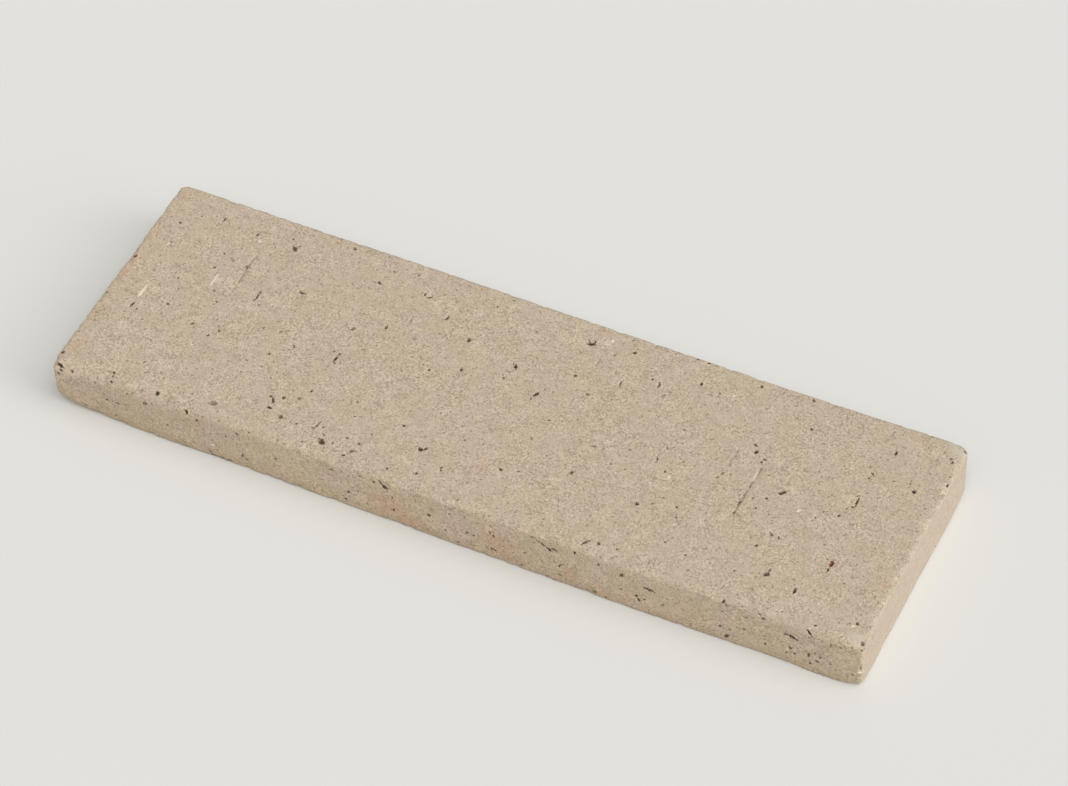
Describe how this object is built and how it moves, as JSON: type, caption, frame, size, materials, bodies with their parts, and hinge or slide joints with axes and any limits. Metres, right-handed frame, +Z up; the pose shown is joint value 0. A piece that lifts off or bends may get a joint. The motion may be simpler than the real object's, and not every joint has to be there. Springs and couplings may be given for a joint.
{
  "type": "clay paver",
  "caption": "Long, thin fired clay paver with slightly bowed sides, rounded corners and one long upper edge worn rounder towards one end.",
  "frame": {"origin": "middle of the paver's footprint, on the flat bed face it lies on", "axes": "+X along the paver's length, away from the end where the upper edge is most worn; +Y across it, away from the worn long edge; +Z up out of the wearing face"},
  "size_m": [0.29, 0.0902, 0.021],
  "materials": {
    "fired_clay": "matte"
  },
  "bodies": {
    "root": {"paver": "fired_clay"}
  },
  "joints": []
}
